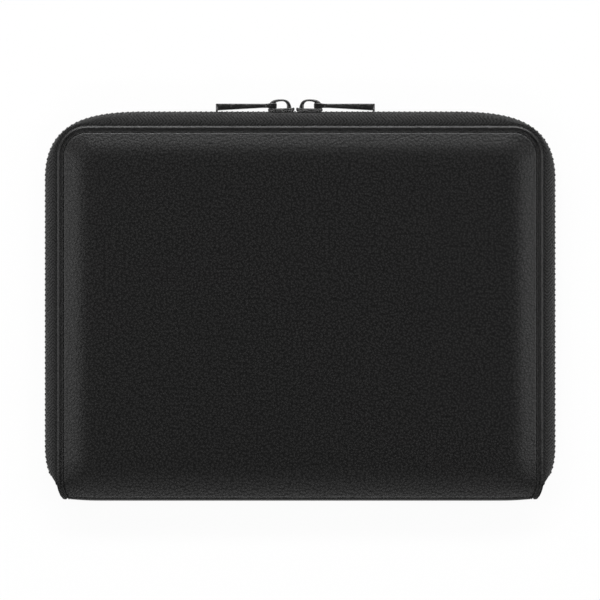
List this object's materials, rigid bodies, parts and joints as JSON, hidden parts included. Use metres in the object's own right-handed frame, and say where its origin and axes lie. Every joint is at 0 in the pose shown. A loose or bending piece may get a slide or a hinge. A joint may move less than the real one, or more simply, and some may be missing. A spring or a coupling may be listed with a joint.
{
  "type": "conference folder",
  "caption": "Padded black leather conference folder, closed by a zip round three sides with two sliders and flat pulls.",
  "frame": {"origin": "centre of the flat outer face of the back cover, halfway along the spine and about halfway from spine to zip", "axes": "+X along the spine, to the right in the picture; +Y from the spine to the zip's long side; +Z from the back cover to the front cover, towards the camera"},
  "size_m": [0.2508, 0.1968, 0.0256],
  "materials": {
    "leather": "black grained leather, low sheen",
    "lining": "matt black woven lining",
    "padding": "soft grey foam",
    "board": "grey-brown board",
    "zip_tape": "black herringbone zip tape",
    "zip_metal": "black metal teeth",
    "slider_metal": "gunmetal, polished edges",
    "elastic": "black ribbed elastic",
    "card": "grey card",
    "paper": "white ruled paper",
    "binding": "black binding tape"
  },
  "bodies": {
    "back_cover": {"back_leather_panel": "leather", "back_foam_pad": "padding", "back_board": "board", "back_lining": "lining", "back_zip_tape": "zip_tape", "back_zip_teeth": "zip_metal", "back_zip_stops": "zip_metal", "pad_backing_card": "card", "pad_slot_panel": "leather", "pad_sheets": "paper", "pad_binding_strip": "binding"},
    "spine": {"spine_leather": "leather", "spine_board": "board", "spine_lining": "lining", "pen_loop": "elastic", "back_hinge_leather": "leather", "back_hinge_lining": "lining", "front_hinge_leather": "leather", "front_hinge_lining": "lining"},
    "front_cover": {"front_leather_panel": "leather", "front_foam_pad": "padding", "front_board": "board", "front_lining": "lining", "front_zip_tape": "zip_tape", "front_zip_teeth": "zip_metal", "front_zip_stops": "zip_metal", "document_pocket": "leather", "card_slot_1": "leather", "card_slot_2": "leather", "card_slot_3": "leather"},
    "left_slider": {"left_slider_body": "slider_metal", "left_slider_bail": "slider_metal"},
    "left_pull": {"left_pull": "slider_metal"},
    "right_slider": {"right_slider_body": "slider_metal", "right_slider_bail": "slider_metal"},
    "right_pull": {"right_pull": "slider_metal"}
  },
  "joints": [
    {"name": "back_hinge", "type": "hinge", "parent": "back_cover", "child": "spine", "pos_m": [0, -0.09041, 0.00129], "axis": [1, 0, 0], "range_deg": [0, 90], "deforming": ["back_hinge_leather", "back_hinge_lining"]},
    {"name": "front_hinge", "type": "hinge", "parent": "spine", "child": "front_cover", "pos_m": [0, -0.09041, 0.02431], "axis": [1, 0, 0], "range_deg": [0, 90], "deforming": ["front_hinge_leather", "front_hinge_lining"]},
    {"name": "left_slide", "type": "slide", "parent": "back_cover", "child": "left_slider", "axis": [-1, 0, 0], "range_m": [0, 0.06], "deforming": ["back_zip_teeth"]},
    {"name": "left_pull_hinge", "type": "hinge", "parent": "left_slider", "child": "left_pull", "pos_m": [-0.01234, 0.1018, 0.0128], "axis": [0, 0, -1], "range_deg": [0, 100]},
    {"name": "right_slide", "type": "slide", "parent": "back_cover", "child": "right_slider", "axis": [1, 0, 0], "range_m": [0, 0.06], "deforming": ["front_zip_teeth"]},
    {"name": "right_pull_hinge", "type": "hinge", "parent": "right_slider", "child": "right_pull", "pos_m": [0.00762, 0.1018, 0.0128], "axis": [0, 0, 1], "range_deg": [0, 100]}
  ],
  "couplings": [
    {"joint": "front_hinge", "follows": "back_hinge", "ratio": 1}
  ]
}
